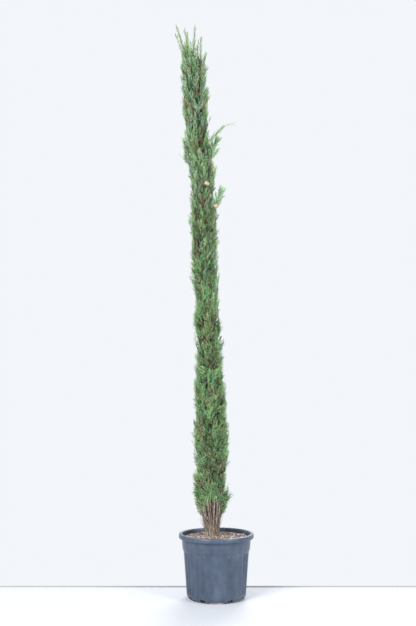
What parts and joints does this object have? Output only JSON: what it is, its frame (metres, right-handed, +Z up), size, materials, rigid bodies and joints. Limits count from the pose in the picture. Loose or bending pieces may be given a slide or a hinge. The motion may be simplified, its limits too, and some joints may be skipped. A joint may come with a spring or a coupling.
{
  "type": "potted italian cypress tree",
  "caption": "Slender evergreen column of upright, feathery foliage on a slightly leaning trunk with stems round its foot, growing in the soil of a round tapered nursery pot.",
  "frame": {"origin": "the centre of the pot's underside, where it rests on the ground", "axes": "+Z up along the tree, -Y the front that faces the viewer, +X to the viewer's right; the crown leans towards -X"},
  "size_m": [0.4982, 0.47, 3.6683],
  "materials": {
    "pot": "satin slate-grey moulded plastic, slightly dusty near the foot",
    "soil": "coarse brown bark and peat growing medium with pale chips",
    "bark": "grey-brown bark in long thin fibrous strips",
    "foliage": "mid green scale leaves in upright feathery sprays"
  },
  "bodies": {
    "root": {"foliage_front_1": "foliage", "foliage_front_2": "foliage", "foliage_front_3": "foliage", "foliage_front_4": "foliage", "foliage_front_5": "foliage", "foliage_front_6": "foliage", "foliage_front_7": "foliage", "foliage_front_8": "foliage", "foliage_left_1": "foliage", "foliage_left_2": "foliage", "foliage_left_3": "foliage", "foliage_left_4": "foliage", "foliage_left_5": "foliage", "foliage_left_6": "foliage", "foliage_left_7": "foliage", "foliage_left_8": "foliage", "foliage_plume_left_upper": "foliage", "foliage_plume_right_lower": "foliage", "foliage_plume_right_upper": "foliage", "foliage_right_1": "foliage", "foliage_right_2": "foliage", "foliage_right_3": "foliage", "foliage_right_4": "foliage", "foliage_right_5": "foliage", "foliage_right_6": "foliage", "foliage_right_7": "foliage", "foliage_right_8": "foliage", "foliage_tip_far_right": "foliage", "foliage_tip_leader": "foliage", "foliage_tip_left": "foliage", "foliage_tip_middle": "foliage", "foliage_tip_right": "foliage", "pot": "pot", "shoot_right": "bark", "soil": "soil", "stem_1": "bark", "stem_10": "bark", "stem_11": "bark", "stem_12": "bark", "stem_2": "bark", "stem_3": "bark", "stem_4": "bark", "stem_5": "bark", "stem_6": "bark", "stem_7": "bark", "stem_8": "bark", "stem_9": "bark", "trunk": "bark"}
  },
  "joints": []
}
